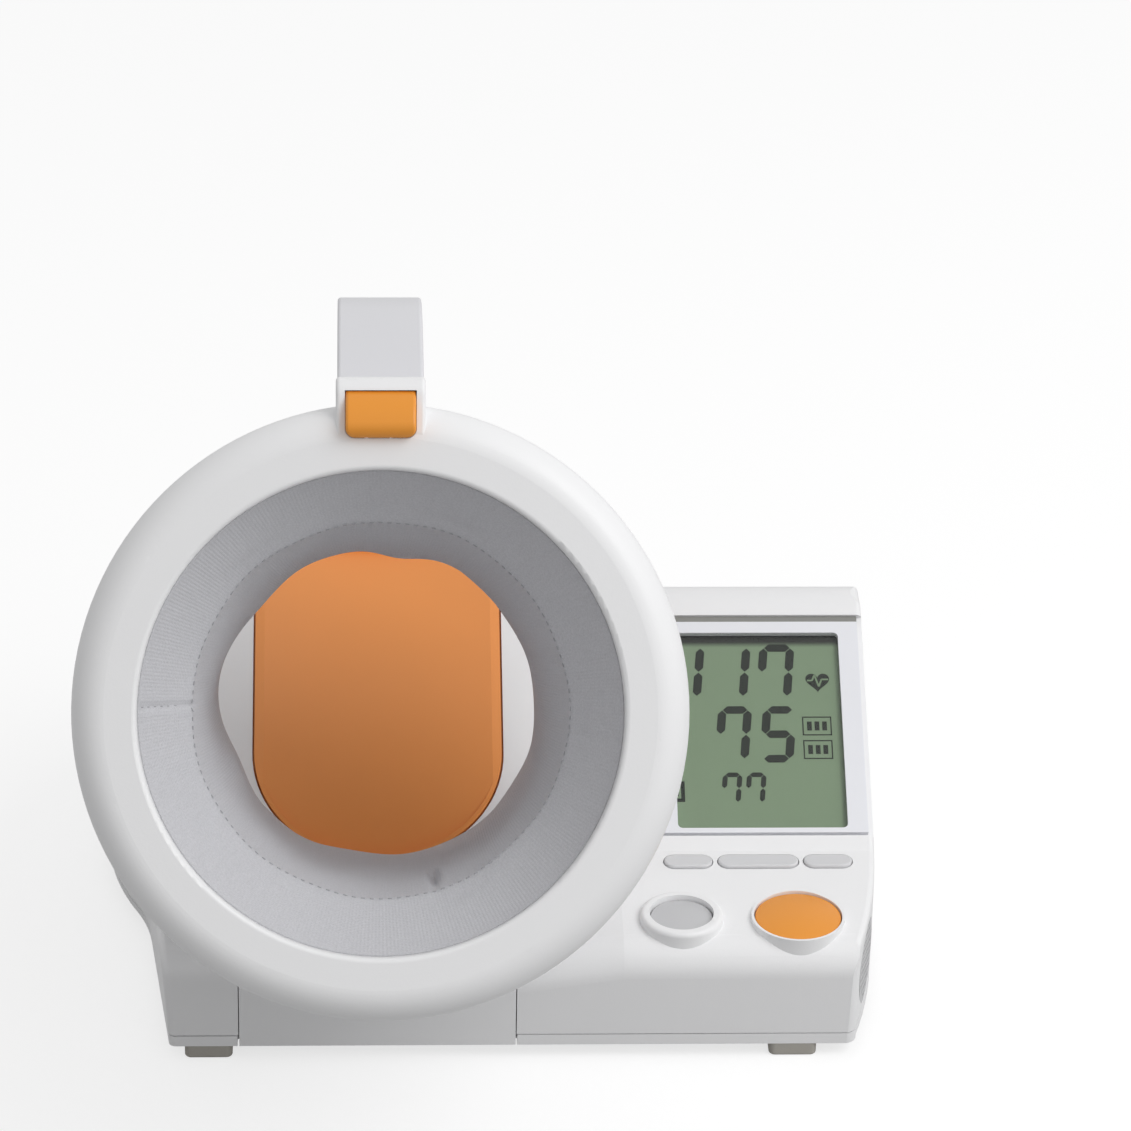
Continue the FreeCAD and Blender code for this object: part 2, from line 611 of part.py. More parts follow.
def base_screws():
    screws = []
    for x, y in POSTS:
        head = rod(2.9, (x, y, SEAT + 0.1), (x, y, SEAT + 1.3))
        shank = rod(1.5, (x, y, SEAT + 1.3), (x, y, 19.0))
        slot = block((x - 2.2, y - 0.35, SEAT), (x + 2.2, y + 0.35, SEAT + 0.7))
        screws.append(fuse([head, shank]).cut([slot, turned(slot, 90.0, x, y)]))
    return Part.makeCompound(screws)


def turned(shape, angle, x, y):
    copy = shape.copy()
    copy.rotate(Vector(x, y, 0), Vector(0, 0, 1), angle)
    return copy


def hinge_shaft():
    return rod(SHAFT_R, (COVER_LEFT - 9.0, HINGE_Y, HINGE_Z), (COVER_RIGHT + 9.0, HINGE_Y, HINGE_Z))


def hinge_bushes():
    return Part.makeCompound([tube(5.45, SHAFT_R + 0.02, (left, HINGE_Y, HINGE_Z), (left + 6.0, HINGE_Y, HINGE_Z))
                              for left in (COVER_LEFT - 9.2, COVER_RIGHT + 3.2)])


def hinge_spring():
    """Closely wound torsion spring round the shaft, in the gap of the drum."""
    mean_r, wire_r, pitch, length = 5.4, 0.7, 1.9, 13.3
    helix = Part.makeHelix(pitch, length, mean_r)
    section = Part.Wire(Part.makeCircle(wire_r, Vector(mean_r, 0, 0), Vector(0, 1, 0)))
    coil = Part.Wire(helix).makePipeShell([section], True, True)
    coil.rotate(Vector(), Vector(0, 1, 0), 90)
    coil.translate(Vector(-0.5 - length / 2, HINGE_Y, HINGE_Z))
    return coil


def latch_catch():
    """Channel under the tray's slot that the barrel's hook drops into."""
    outside = block((-8, LATCH_U - 4.0, -13), (8, LATCH_U + 5.0, -TRAY_DROP - WALL))
    inside = block((-5, LATCH_U - 9.0, -11.5), (5, LATCH_U + 9.0, 0))
    return stand(outside.cut(inside), TRAY_TILT)


# ---- the barrel ---------------------------------------------------------------------------------
def ring_path():
    """(radius, height) outline: mouth wall, small inner rounding, flat face, wide outer rounding."""
    bend = RING_LIP * (1 - math.sqrt(0.5))
    return [(MOUTH_R, 124.0), (MOUTH_R, RING_TOP - RING_LIP),
            ((MOUTH_R + bend, RING_TOP - bend), (MOUTH_R + RING_LIP, RING_TOP)), (RING_FLAT, RING_TOP),
            ((84.3, 140.2), (RING_R, 133.4)), (NECK_R, RING_H), (NECK_R - WALL, RING_H),
            (RING_R - WALL - 0.2, 132.8), ((82.5, 138.0), (RING_FLAT, RING_TOP - WALL)),
            (MOUTH_R + WALL, RING_TOP - WALL), (MOUTH_R + WALL, 124.0)]


#: (distance from the axis, height) outline of the housing round the open button, on top of the ring.
COLLAR = [(84.0, 124.0), (93.0, 124.0), (94.2, 136.0), ((93.4, 140.6), (89.5, 142.6)),
          (78.8, RING_TOP - 0.1), (76.0, RING_TOP - 0.4), (76.0, 137.0)]


def barrel_across(path, half):
    """Extrudes a (y, height) outline along X, centred on the barrel's axis."""
    outline = Part.Face(wire(path, lambda y, z: Vector(-half, y, z)))
    return outline.extrude(Vector(2 * half, 0, 0))


def rod_way(grow):
    return block((-2.5 - grow, 76.0 - grow, 10.0), (2.5 + grow, 80.0 + grow, 133.0))


def tab_prism(grow, low, high):
    """The open button's outline seen from the mouth, its lower corners rounded, from low to high."""
    half, under, over = TAB_HALF + grow, TAB_LOW - grow, TAB_HIGH + grow
    corner = TAB_CORNER + grow
    bend = corner * (1 - math.sqrt(0.5))
    return prism([(-half, under + corner), ((-half + bend, under + bend), (-half + corner, under)),
                  (half - corner, under), ((half - bend, under + bend), (half, under + corner)),
                  (half, over), (-half, over)], low, high)


def front_ring():
    ring = lathe(ring_path())
    collar = barrel_across(COLLAR, HANDLE_HALF + 0.4)
    collar = rounded(collar, 1.2, lambda p: abs(abs(p.x) - HANDLE_HALF - 0.4) < 0.1 and p.y > 80)
    return largest(fuse([ring, collar]).cut([tab_prism(TAB_GAP, 126.0, 160.0), rod_way(0.4)]))


def barrel_lump(inset):
    """Body of the barrel between its rear plate and the front ring, shrunk by inset."""
    path = [(0.0, WALL), (BARREL_R - inset, WALL), (NECK_R - inset, RING_H - 0.1), (0.0, RING_H - 0.1)]
    return lathe(path).common(facet(-inset))


def drum_space():
    return rod(DRUM_R + 0.05, (COVER_LEFT + 1.4, -BARREL_R, 0), (COVER_RIGHT - 1.4, -BARREL_R, 0))


def barrel_shell():
    return largest(barrel_lump(0.0).cut([barrel_lump(WALL), drum_space()]))


def rear_screw_places():
    reach = 73.6 * math.sqrt(0.5)
    return [(sx * reach, sy * reach) for sx in (-1, 1) for sy in (-1, 1)]


def rear_ring():
    plate = lathe([(53.0, 0.0), (BARREL_R, 0.0), (BARREL_R, WALL), (53.0, WALL)]).common(facet(0.0))
    plate = rounded(plate, 1.0, lambda p: p.z < 0.1)
    cuts = [drum_space(), block((-4.0, LATCH_U - 3.5, -1), (4.0, LATCH_U + 5.2, 5))]
    for x, y in rear_screw_places():
        cuts += [rod(1.6, (x, y, -1), (x, y, 5)), rod(2.9, (x, y, -1), (x, y, 1.3))]
    return largest(plate.cut(cuts))


def rear_screws():
    screws = []
    for x, y in rear_screw_places():
        head = rod(2.7, (x, y, 0.1), (x, y, 1.3))
        shank = rod(1.5, (x, y, 1.3), (x, y, 13.0))
        slot = block((x - 2.0, y - 0.35, 0), (x + 2.0, y + 0.35, 0.7))
        screws.append(fuse([head, shank]).cut([slot, turned(slot, 90.0, x, y)]))
    return Part.makeCompound(screws)


def inner_frame():
    """Rigid drum that the cuff's air bags press against."""
    inner, outer, low, high = 68.4, 70.2, WALL, 123.9
    wall = tube(outer, inner, (0, 0, low), (0, 0, high)).common(facet(-WALL - 0.05))
    posts = [rod(3.6, (x, y, low), (x, y, 20.0)) for x, y in rear_screw_places()]
    holes = [rod(1.55, (x, y, 0), (x, y, 14.0)) for x, y in rear_screw_places()]
    frame = fuse([wall] + posts)
    return largest(frame.cut(holes + [rod(inner, (0, 0, 0), (0, 0, 130)), drum_space()]))


def clamp_bag():
    return tube(68.2, 61.2, (0, 0, 10.0), (0, 0, 112.0))


def curler():
    """Springy split leaf between the two bags."""
    return lathe([(59.9, 12.0), (60.9, 12.0), (60.9, 110.0), (59.9, 110.0)], 340.0, 100.0)


def measuring_bag():
    return lathe([(55.6, 20.0), (59.6, 20.0), (59.6, 108.0), (55.6, 108.0)], 230.0, 155.0)


def cuff_sleeve():
    """Fabric lining: a funnel from the mouth, then the bore, cut as gores that meet along the axis."""
    path = [(MOUTH_R - 0.15, 131.6), (MOUTH_R - 0.15, 139.3), (63.5, 131.7), (55.0, 119.9),
            ((51.2, 114.0), (BORE_R + 0.4, 102.0)), (BORE_R, 60.0), (BORE_R, 6.0),
            ((BORE_R + 0.9, 3.6), (BORE_R + 3.0, 2.7)), (57.0, 2.7), (57.0, 8.0), (54.8, 12.0),
            (54.8, 112.5), ((57.5, 119.0), (60.0, 121.6))]
    turn = 360.0 / GORES
    return Part.makeCompound([lathe(path, turn - GORE_GAP, index * turn) for index in range(GORES)])


def handle():
    """Carrying arch over the barrel, from the button's collar to a foot on the rear rim."""
    outside = [(93.2, 133.0), (100.4, 124.0), (107.2, 112.0), (113.0, 98.0), (116.6, 84.0),
               (118.0, 70.0), (117.2, 55.0), (114.6, 42.0), (109.8, 28.0), (103.0, 12.0),
               (96.0, 0.0), (89.6, -10.0)]
    inside = [(91.0, 1.4), (94.6, 3.2), (98.6, 10.6), (105.4, 27.0), (110.4, 42.0), (113.0, 57.0),
              (112.8, 72.0), (110.4, 84.0), (105.6, 97.0), (98.2, 109.8), (91.0, 117.0)]
    upper, lower = Part.BSplineCurve(), Part.BSplineCurve()
    upper.interpolate([Vector(-HANDLE_HALF, y, z) for y, z in outside])
    lower.interpolate([Vector(-HANDLE_HALF, y, z) for y, z in inside])
    foot = [(89.6, -10.0), (88.2, -10.6), (88.2, -0.3), (84.0, -0.3), (84.0, 6.0), (91.0, 1.4)]
    front = [(91.0, 117.0), (84.0, 119.0), (84.0, 123.9), (93.2, 123.9), (93.2, 133.0)]
    foot = [Vector(-HANDLE_HALF, y, z) for y, z in foot]
    front = [Vector(-HANDLE_HALF, y, z) for y, z in front]
    edges = [upper.toShape()] + [Part.makeLine(a, b) for a, b in zip(foot, foot[1:])]
    edges += [lower.toShape()] + [Part.makeLine(a, b) for a, b in zip(front, front[1:])]
    arch = Part.Face(Part.Wire(edges)).extrude(Vector(2 * HANDLE_HALF, 0, 0))
    arch = arch.makeFillet(1.0, [edge for edge in arch.Edges if edge.Length > 100.0])
    rear_disc = rod(BARREL_R, (0, 0, 0), (0, 0, WALL))
    return largest(arch.cut([barrel_lump(0.0), rear_disc, rod(NECK_R + 0.6, (0, 0, 115), (0, 0, 124)),
                             barrel_across(COLLAR, HANDLE_HALF + 1.0)]))


def open_button():
    """Orange push tab that frees the barrel's latch."""
    path = [(70.0, 131.0), (TAB_HIGH, 131.0), (TAB_HIGH, 141.4), ((86.8, 145.2), (82.2, 147.2)),
            ((79.2, 147.0), (TAB_LOW, 145.2)), (70.0, 145.2)]
    tab = tab_prism(0.0, 131.0, 150.0).common(barrel_across(path, TAB_HALF + 5.0))
    return rounded(tab, 1.0, lambda p: p.z > 141.0)


def latch_rod():
    return block((-2.5, 76.2, 19.5), (2.5, 79.8, 130.9))


def latch_hook():
    near, far = LATCH_U - 1.9, LATCH_U + 1.9
    path = [(near, 16.0), (far, 16.0), (far, -4.4), (far + 2.6, -6.2), (far + 2.6, -8.0), (near, -8.0)]
    arm = barrel_across(path, 3.2)
    eye = rod(3.4, (-3.2, LATCH_U, 9.0), (3.2, LATCH_U, 9.0))
    return arm.fuse(eye).cut(rod(1.56, (-9, LATCH_U, 9.0), (9, LATCH_U, 9.0))).removeSplitter()


def hook_pin():
    return rod(1.5, (-8.5, LATCH_U, 9.0), (8.5, LATCH_U, 9.0))


def hook_bracket():
    """Two ears on the rear plate that carry the hook's pin."""
    ears = []
    for left in (-7.5, 4.5):
        ear = block((left, LATCH_U - 4.0, WALL), (left + 3.0, LATCH_U + 3.4, 13.0))
        ears.append(ear.cut(rod(1.5, (-9, LATCH_U, 9.0), (9, LATCH_U, 9.0))))
    return Part.makeCompound(ears)


def stop_tab(left):
    """Tooth on the drum that meets a block in the base when the barrel is fully open."""
    tooth = block((left, HINGE_Y - 2.4, 8.2), (left + STOP_WIDE, HINGE_Y + 2.4, HINGE_Z - 8.0))
    tooth.translate(Vector(0, -HINGE_Y, -HINGE_Z))
    tooth.rotate(Vector(), Vector(1, 0, 0), -REST_TILT)
    tooth.translate(Vector(0, -BARREL_R, 0))
    return tooth


def hinge_drum():
    """Trunnion under the barrel that turns on the shaft."""
    left, right = COVER_LEFT + 1.5, COVER_RIGHT - 1.5
    drum = tube(DRUM_R, SHAFT_R + 0.06, (left, -BARREL_R, 0), (right, -BARREL_R, 0))
    gap = rod(7.2, (-9.5, -BARREL_R, 0), (8.5, -BARREL_R, 0))
    drum = drum.cut([gap, rod(70.3, (0, 0, -20), (0, 0, 40))])
    tabs = [stop_tab(left) for left in STOPS]
    return fuse([drum] + tabs)


# ---- the assembly -------------------------------------------------------------------------------
BASE_PIECES = {
    "base_top": base_top, "base_bottom": base_bottom, "hinge_cover": hinge_cover,
    "arm_rest": arm_rest, "display_frame": display_frame, "display_window": display_window,
    "frame_seal": frame_seal,
    "lcd_panel": lcd_panel, "lcd_holder": lcd_holder, "main_board": main_board,
    "pressure_sensor": pressure_sensor, "key_board": key_board, "key_switches": key_switches,
    "speaker_grille": speaker_grille, "speaker": speaker, "air_pump": air_pump,
    "pump_cradle": pump_cradle, "pump_hose": pump_hose, "valve_block": valve_block,
    "bleed_valve": bleed_valve, "power_inlet": power_inlet, "rubber_feet": rubber_feet,
    "base_screws": base_screws, "hinge_shaft": hinge_shaft, "hinge_bushes": hinge_bushes,
    "hinge_spring": hinge_spring, "latch_catch": latch_catch}

BARREL_PIECES = {
    "front_ring": front_ring, "barrel_shell": barrel_shell, "rear_ring": rear_ring,
    "rear_screws": rear_screws, "inner_frame": inner_frame, "clamp_bag": clamp_bag,
    "curler": curler, "measuring_bag": measuring_bag, "cuff_sleeve": cuff_sleeve,
    "handle": handle, "open_button": open_button, "latch_rod": latch_rod,
    "latch_hook": latch_hook, "hook_pin": hook_pin, "hook_bracket": hook_bracket,
    "hinge_drum": hinge_drum}


def main():
    os.makedirs("parts", exist_ok=True)
    for name, make in BASE_PIECES.items():
        export(name, make())
    export("start_button", round_button(START_X, START_R, START_TOP, 1.6))
    export("power_button", round_button(POWER_X, POWER_R, POWER_TOP, 0.8))
    for name in KEYS:
        export(name, key_button(name))
    for name, make in BARREL_PIECES.items():
        export(name, stand(make(), REST_TILT))


main()
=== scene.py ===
# %% [markdown]
# # An arm-in blood pressure monitor
# The object is a round cuff barrel on a table-top base.  The upper arm goes through the barrel, the
# elbow lands on the orange rest behind it, and the display and the buttons are at its right.  Every
# rigid piece comes from the measured model, which is loaded here as a fixed frame.  What this lesson
# adds is what soft cloth, printed marks and light do: the knitted lining of the cuff with its seams
# and stitches, the figures on the display, and a finish for every piece.

# %% Load the frame
import json
import math
import bmesh
import bpy
import numpy as np
from mathutils import Matrix, Vector


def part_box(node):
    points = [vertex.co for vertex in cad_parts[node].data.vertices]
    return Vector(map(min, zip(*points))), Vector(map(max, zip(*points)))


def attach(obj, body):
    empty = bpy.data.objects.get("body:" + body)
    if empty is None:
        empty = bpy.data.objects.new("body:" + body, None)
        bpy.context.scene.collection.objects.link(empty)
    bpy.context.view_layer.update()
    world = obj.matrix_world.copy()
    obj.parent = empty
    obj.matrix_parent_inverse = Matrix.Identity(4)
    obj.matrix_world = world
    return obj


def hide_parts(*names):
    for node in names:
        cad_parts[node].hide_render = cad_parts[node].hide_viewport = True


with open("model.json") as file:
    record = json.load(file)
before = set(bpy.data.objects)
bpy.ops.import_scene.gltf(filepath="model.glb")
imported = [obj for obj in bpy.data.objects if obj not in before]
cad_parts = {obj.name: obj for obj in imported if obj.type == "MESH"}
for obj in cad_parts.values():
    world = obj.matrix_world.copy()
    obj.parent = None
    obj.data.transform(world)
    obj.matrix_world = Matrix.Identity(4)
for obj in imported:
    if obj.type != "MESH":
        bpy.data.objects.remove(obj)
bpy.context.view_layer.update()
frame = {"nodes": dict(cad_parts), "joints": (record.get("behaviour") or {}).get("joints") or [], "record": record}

MM = 0.001
nodes = frame["nodes"]

# %% [markdown]
# ## Where things are
# The barrel stands on a slant, so its lining is easier to describe upright: x runs across, u towards
# the handle and h from the rear face up to the mouth, all in millimetres.  One turn about the hinge
# and one shift bring such a point to its place on the table.  The hinge itself is read from the frame.

# %% The barrel's own coordinates
BARREL_TILT = math.radians(63.0)     # how far the barrel leans forward at rest
BARREL_RADIUS = 86.0                 # hinge line to barrel axis
hinge = np.array(next(j for j in frame["joints"] if j["name"] == "barrel_tilt")["pos_m"]) / MM
AXIS_X = hinge[0]


def on_barrel(x, u, h):
    """Metres on the table for upright places: lift by the radius, turn by the tilt, move to the hinge."""
    u = u + BARREL_RADIUS
    y = hinge[1] + u * math.cos(BARREL_TILT) - h * math.sin(BARREL_TILT)
    z = hinge[2] + u * math.sin(BARREL_TILT) + h * math.cos(BARREL_TILT)
    return np.stack([AXIS_X + x + 0 * y, y, z], axis=-1) * MM


print("barrel axis at the rear face:", np.round(on_barrel(0.0, 0.0, 0.0), 4))

# %% The display's own coordinates
# On the display x also counts from the barrel's axis, and up from the foot of its slope.
SLOPE_TILT = math.radians(30.5)
SLOPE_FOOT_Y, SLOPE_FOOT_Z = -3.915, 42.5
PANEL_TOP = -2.1                     # lift of the display panel's face
FRAME_LEFT = 80.6                    # left edge of the display's frame
frame_low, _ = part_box("display_frame")
SLOPE_X = frame_low.x / MM - FRAME_LEFT


def on_slope(x, up, lift):
    """Metres for a place x across, up the slope and lift above it."""
    y = SLOPE_FOOT_Y + up * math.cos(SLOPE_TILT) - lift * math.sin(SLOPE_TILT)
    z = SLOPE_FOOT_Z + up * math.sin(SLOPE_TILT) + lift * math.cos(SLOPE_TILT)
    return np.stack([SLOPE_X + x + 0 * y, y, z], axis=-1) * MM


print("foot of the display's slope:", np.round(on_slope(0.0, 0.0, 0.0), 4))

# %% [markdown]
# ## From arrays to meshes
# A surface is an array of points with one row per step of the first parameter and one column per
# step of the second.  Its faces follow from the shape of the array alone, so no loop over vertices is
# needed.  A stack of such grids makes many small copies, such as stitches, in a single mesh.


# %% A mesh from a grid of points
def grid_faces(rows, columns, wrap_rows, wrap_columns):
    """Corner numbers of each quad: point, its right neighbour, and the same two one row on."""
    i = np.arange(rows if wrap_rows else rows - 1)[:, None]
    j = np.arange(columns if wrap_columns else columns - 1)[None, :]
    next_i, next_j = (i + 1) % rows, (j + 1) % columns
    quads = [i * columns + j, i * columns + next_j, next_i * columns + next_j, next_i * columns + j]
    return np.stack(np.broadcast_arrays(*quads), axis=-1).reshape(-1, 4)


def grid_corners(rows, columns, row_step, column_step):
    """UV of each quad's corners on a closed grid, counted on past the last row and column."""
    i, j = np.meshgrid(np.arange(rows), np.arange(columns), indexing="ij")
    steps = [(i, j), (i, j + 1), (i + 1, j + 1), (i + 1, j)]
    corners = [np.stack([a * row_step, b * column_step], axis=-1) for a, b in steps]
    return np.stack(corners, axis=-2).reshape(-1, 2)


def make_piece(name, points, faces, uv=None, smooth=True):
    """Object from an array of points and a list of faces; uv has a pair for each face's corners."""
    mesh = bpy.data.meshes.new(name)
    mesh.from_pydata(points.reshape(-1, 3), [], faces)
    if uv is not None:
        mesh.uv_layers.new(name="UVMap").data.foreach_set("uv", uv.astype(np.float32).ravel())
    mesh.polygons.foreach_set("use_smooth", np.full(len(mesh.polygons), smooth))
    mesh.update()
    piece = bpy.data.objects.new(name, mesh)
    bpy.context.scene.collection.objects.link(piece)
    return piece


def point_outwards(piece):
    """Turns a closed mesh's faces so that they look outwards."""
    work = bmesh.new()
    work.from_mesh(piece.data)
    bmesh.ops.recalc_face_normals(work, faces=work.faces)
    work.to_mesh(piece.data)
    work.free()


# %% [markdown]
# ## Sums in a material
# A finish is a small network.  Wrapping each output in a class that knows + and * lets the network be
# written as the sum it stands for.  One method makes every other kind of node: it takes the kind, its
# settings and the values or links of its sockets.


# %% Shader arithmetic
class Signal:
    """One output in a material.  Arithmetic on it adds Math nodes to the same material."""

    def __init__(self, finish, socket):
        self.finish = finish
        self.socket = socket

    def combine(self, operation, other):
        """A Math node on this output and another one or a number."""
        return self.finish.node("Math", {"operation": operation}, {0: self, 1: other})

    def __add__(self, other):
        return self.combine("ADD", other)

    def __mul__(self, other):
        return self.combine("MULTIPLY", other)

    __radd__ = __add__
    __rmul__ = __mul__


class Finish:
    """A material being built up from nodes."""

    def __init__(self, name):
        self.material = bpy.data.materials.new(name)
        self.material.use_nodes = True
        self.tree = self.material.node_tree
        self.tree.nodes.clear()

    def node(self, kind, settings=None, sockets=None, out=0):
        """Adds a node, sets its settings, then its sockets, and returns one of its outputs."""
        made = self.tree.nodes.new("ShaderNode" + kind)
        for name, value in (settings or {}).items():
            setattr(made, name, value)
        for name, value in (sockets or {}).items():
            if isinstance(value, Signal):
                self.tree.links.new(value.socket, made.inputs[name])
            else:
                made.inputs[name].default_value = value
        return Signal(self, made.outputs[out]) if made.outputs else None

    def place(self, kind="Object"):
        """Object coordinates, or the piece's UV map."""
        return self.node("TexCoord", out=kind)

    def part(self, vector, axis):
        """One coordinate of a vector."""
        return self.node("SeparateXYZ", None, {0: vector}, out=axis)

    def mix(self, share, first, second):
        """Blend of two colours: inputs 6 and 7 and output 2 are the node's colour sockets."""
        colours = {0: share, 6: rgba(first), 7: rgba(second)}
        return self.node("Mix", {"data_type": "RGBA"}, colours, out=2)

    def noise(self, vector, scale, detail=2.0, roughness=0.5):
        """Smooth noise from 0 to 1: scale counts its blobs per metre."""
        return self.node("TexNoise", None, {"Vector": vector, "Scale": scale, "Detail": detail,
                                            "Roughness": roughness}, out="Fac")

    def between(self, value, low, high):
        """0 below low, 1 above high, with a soft step between."""
        return self.node("MapRange", {"interpolation_type": "SMOOTHSTEP"},
                         {"Value": value, "From Min": low, "From Max": high})

    def bump(self, height, distance):
        """Relief of the given depth, in metres, where height runs from 0 to 1."""
        return self.node("Bump", None, {"Height": height, "Distance": distance, "Strength": 1.0})

    def close(self, **sockets):
        """Ends the material in a Principled shader."""
        named = {name.replace("_", " "): value for name, value in sockets.items()}
        shader = self.node("BsdfPrincipled", None, named)
        self.node("OutputMaterial", None, {"Surface": shader})
        return self.material


def rgba(colour):
    """A plain colour gets its fourth number; a signal stays as it is."""
    return colour if isinstance(colour, Signal) else (*colour, 1.0)


def from_screen(red, green, blue):
    """Linear colour of a screen colour, 0 to 255: divide, then raise to the power 2.2."""
    return tuple((part / 255.0) ** 2.2 for part in (red, green, blue))


# %% [markdown]
# ## Moulded plastic
# The housing is satin ABS: a very fine spark-eroded texture that breaks up highlights, a slight
# unevenness of tone, and a little less gloss where hands touch.  Three noises do it.  The finest
# drives a bump of a few hundredths of a millimetre, the widest darkens the colour by up to three
# percent, and the third moves the roughness.


# %% A function that makes any moulded finish
DRIFT_SCALE, TOUCH_SCALE = 14.0, 60.0   # blobs per metre of the tone's and the gloss's unevenness
GLOSS_SPREAD = 0.08                     # least to greatest roughness on one piece


def moulded(name, colour, roughness=0.42, texture=0.02, grain=1400.0, uneven=0.03):
    """Satin moulding: colour and roughness drift with wide noise, and fine noise makes the texture."""
    finish = Finish(name)
    where = finish.place()
    drift = finish.noise(where, DRIFT_SCALE, 3.0)
    darker = tuple(part * (1.0 - uneven) for part in colour)
    fine = finish.noise(where, grain, 2.0, 0.6)
    touched = finish.noise(where, TOUCH_SCALE, 2.0)
    return finish.close(Base_Color=finish.mix(drift, darker, colour),
                        Roughness=roughness - GLOSS_SPREAD / 2 + touched * GLOSS_SPREAD,
                        Normal=finish.bump(fine, texture * MM))


white_plastic = moulded("white_plastic", from_screen(243, 243, 244))
handle_plastic = moulded("handle_plastic", from_screen(222, 222, 226), 0.36)
frame_plastic = moulded("frame_plastic", from_screen(236, 237, 242), 0.3, 0.008)
orange_plastic = moulded("orange_plastic", from_screen(238, 152, 52), 0.38, 0.01)
grey_plastic = moulded("grey_plastic", from_screen(214, 214, 216), 0.38, 0.01)
dark_plastic = moulded("dark_plastic", from_screen(52, 52, 54), 0.5, 0.03)
foot_rubber = moulded("foot_rubber", from_screen(178, 174, 166), 0.75, 0.06, 900.0)
print("moulded finishes ready")

# %% [markdown]
# ## The rest, the display and the workings
# The elbow rest is a smoother orange that catches a broad sheen.  The display is a reflective panel:
# grey-green, with painted shade in a band under its upper edge, where the thick frame keeps the light
# off, and a little at its right.  What lies inside the housing gets plain but truthful finishes,
# because it shows in a view from below or when a single piece is picked out of the library.

# %% Rest, display and grille
rest_plastic = moulded("rest_plastic", from_screen(250, 158, 84), 0.32, 0.012, 900.0, 0.05)
grille_plastic = moulded("grille_plastic", from_screen(198, 198, 200), 0.45, 0.03)
# The seal's mid-grey is partly painted shade: it stands in for the shade in the deep groove above the display's
# frame.
seal_rubber = moulded("seal_rubber", from_screen(138, 138, 134), 0.6, 0.03)

LCD_RIGHT, LCD_HIGH = 146.8, 78.6    # right and upper edge of the panel, where it shows
PAINTED_BAND_LOW, PAINTED_BAND_HIGH = 4.4, 2.0       # the painted shade band sets in between these distances from the top
PAINTED_EDGE_SHADE_WIDE = 2.0                      # and the painted shade at the right is as wide as this


def display_panel(name):
    """Grey-green panel with painted shade: a dark band under its upper edge and a little at its right."""
    finish = Finish(name)
    where = finish.place()
    height, across = finish.part(where, "Z"), finish.part(where, "X")
    top = float(on_slope(0.0, LCD_HIGH, PANEL_TOP)[2])
    step = math.sin(SLOPE_TILT) * MM                 # height gained per millimetre up the slope
    # Painted shade: a dark band under the upper edge, where the thick frame keeps the light off.
    painted_shade_band = finish.between(height, top - PAINTED_BAND_LOW * step, top - PAINTED_BAND_HIGH * step)
    # Painted shade of the frame's right wall over the panel's right edge.
    side = float(on_slope(LCD_RIGHT, 0.0, 0.0)[0])
    edge = finish.between(across, side - PAINTED_EDGE_SHADE_WIDE * MM, side) * 0.5
    grain = finish.noise(where, 3000.0, 1.0)
    lit = finish.mix(grain * 0.25, from_screen(133, 152, 125), from_screen(122, 141, 115))
    lit = finish.mix(edge, lit, from_screen(70, 80, 68))
    return finish.close(Base_Color=finish.mix(painted_shade_band, lit, from_screen(20, 21, 18)), Roughness=0.28)


lcd = display_panel("lcd")
ink = moulded("lcd_segment", from_screen(18, 26, 18), 0.7, 0.004)

# %% A clear window
WINDOW_GLOSS = 0.35                  # share of a full reflection, for an anti-glare sheet


def clear(name):
    """Thin clear sheet: light passes, and only its gloss shows."""
    finish = Finish(name)
    gloss = finish.node("BsdfGlossy", None, {"Color": (1, 1, 1, 1), "Roughness": 0.04})
    through = finish.node("BsdfTransparent", None, {"Color": (0.97, 0.98, 0.97, 1)})
    facing = finish.node("Fresnel", None, {"IOR": 1.45})
    mixed = finish.node("MixShader", None, {0: facing * WINDOW_GLOSS, 1: through, 2: gloss})
    finish.node("OutputMaterial", None, {"Surface": mixed})
    return finish.material


clear_window = clear("clear_window")


# %% Metals, board and rubber
def metal(name, colour, roughness, lines):
    """Bare metal: fine turned lines, as noise stretched along x, vary the gloss."""
    finish = Finish(name)
    stretched = finish.node("Mapping", None, {"Vector": finish.place(), "Scale": (1.0, 40.0, 40.0)})
    streak = finish.noise(stretched, 160.0, 3.0)
    return finish.close(Base_Color=(*colour, 1.0), Metallic=1.0,
                        Roughness=roughness - lines / 2 + streak * lines,
                        Normal=finish.bump(streak, 0.01 * MM))


steel = metal("steel", (0.58, 0.57, 0.55), 0.32, 0.14)
spring_steel = metal("spring_steel", (0.42, 0.42, 0.43), 0.38, 0.1)
bush_brass = metal("bush_brass", (0.72, 0.52, 0.26), 0.42, 0.12)
motor_metal = metal("motor_metal", (0.66, 0.66, 0.68), 0.36, 0.1)
circuit_board = moulded("circuit_board", from_screen(28, 92, 52), 0.34, 0.02, 500.0, 0.25)
bladder = moulded("bladder", from_screen(70, 70, 74), 0.7, 0.08, 700.0, 0.08)

# %% [markdown]
# Each piece of the frame takes its finish by the material slot that its record names.  Two pieces
# differ from their slot: the display's frame is smoother than the housing around it, and the power
# button's cap is a darker grey than the three keys.

